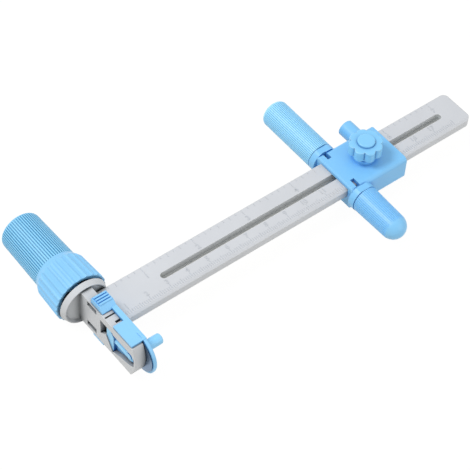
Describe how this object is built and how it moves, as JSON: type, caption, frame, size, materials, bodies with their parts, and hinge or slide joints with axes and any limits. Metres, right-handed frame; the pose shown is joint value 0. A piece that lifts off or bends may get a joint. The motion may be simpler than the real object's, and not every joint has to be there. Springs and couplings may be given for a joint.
{
  "type": "rotary circle cutter",
  "caption": "Compass cutter for cloth and paper: slotted ruler with a guarded round blade and handle at one end and a sliding, clamped needle pivot with its own grip.",
  "frame": {"origin": "middle of the underside of the whole cutter's box, as it lies flat on a table", "axes": "+X along the ruler from the blade end to the plain end, +Y towards the ends of the two handles, +Z out of the ruler's face that carries the scales"},
  "size_m": [0.2006, 0.094, 0.0278],
  "materials": {
    "sky_plastic": "light sky blue moulded plastic, satin sheen",
    "grey_plastic": "pale grey moulded plastic, satin sheen",
    "plated_steel": "bright plated steel",
    "blade_steel": "ground and polished blade steel",
    "brass": "turned brass"
  },
  "bodies": {
    "bar": {"ruler": "grey_plastic", "blade_frame": "grey_plastic", "axle_carrier": "sky_plastic", "blade_axle": "sky_plastic", "ratchet_wheel": "grey_plastic", "handle_washer": "plated_steel", "handle_screw": "plated_steel"},
    "blade": {"rotary_blade": "blade_steel"},
    "guard": {"guard_slider": "sky_plastic"},
    "handle": {"handle_collar": "sky_plastic", "handle_grip": "sky_plastic", "ratchet_spring": "sky_plastic"},
    "carriage": {"carriage_body": "sky_plastic", "carriage_base": "sky_plastic", "needle_holder": "brass", "needle": "plated_steel", "grip_washer": "plated_steel", "grip_screw": "plated_steel"},
    "grip": {"pivot_grip": "sky_plastic", "grip_end_plug": "sky_plastic"},
    "cap": {"needle_cap": "sky_plastic"},
    "knob": {"clamp_knob": "sky_plastic", "knob_button": "sky_plastic", "clamp_screw": "plated_steel"},
    "clamp": {"clamp_plate": "grey_plastic", "clamp_nut": "brass"}
  },
  "joints": [
    {"name": "handle_spin", "type": "hinge", "parent": "bar", "child": "handle", "pos_m": [-0.08845, 0.01115, 0.0119], "axis": [0, 1, 0], "continuous": true},
    {"name": "blade_spin", "type": "hinge", "parent": "bar", "child": "blade", "pos_m": [-0.08565, -0.0305, 0.0119], "axis": [1, 0, 0], "continuous": true},
    {"name": "guard_slide", "type": "slide", "parent": "bar", "child": "guard", "axis": [0, 1, 0], "range_m": [0, 0.0045]},
    {"name": "carriage_slide", "type": "slide", "parent": "bar", "child": "carriage", "axis": [1, 0, 0], "range_m": [-0.1035, 0.0418]},
    {"name": "grip_spin", "type": "hinge", "parent": "carriage", "child": "grip", "pos_m": [0.03555, 0.02115, 0.0119], "axis": [0, 1, 0], "continuous": true},
    {"name": "cap_pull", "type": "slide", "parent": "carriage", "child": "cap", "axis": [0, -1, 0], "range_m": [0, 0.025]},
    {"name": "knob_turn", "type": "hinge", "parent": "carriage", "child": "knob", "pos_m": [0.04685, -0.00885, 0.0219], "axis": [0, 0, 1], "range_deg": [0, 270]},
    {"name": "clamp_lower", "type": "slide", "parent": "carriage", "child": "clamp", "axis": [0, 0, -1], "range_m": [0, 0.00053]}
  ],
  "couplings": [
    {"joint": "clamp_lower", "follows": "knob_turn", "m_per_rad": 0.00011141}
  ]
}
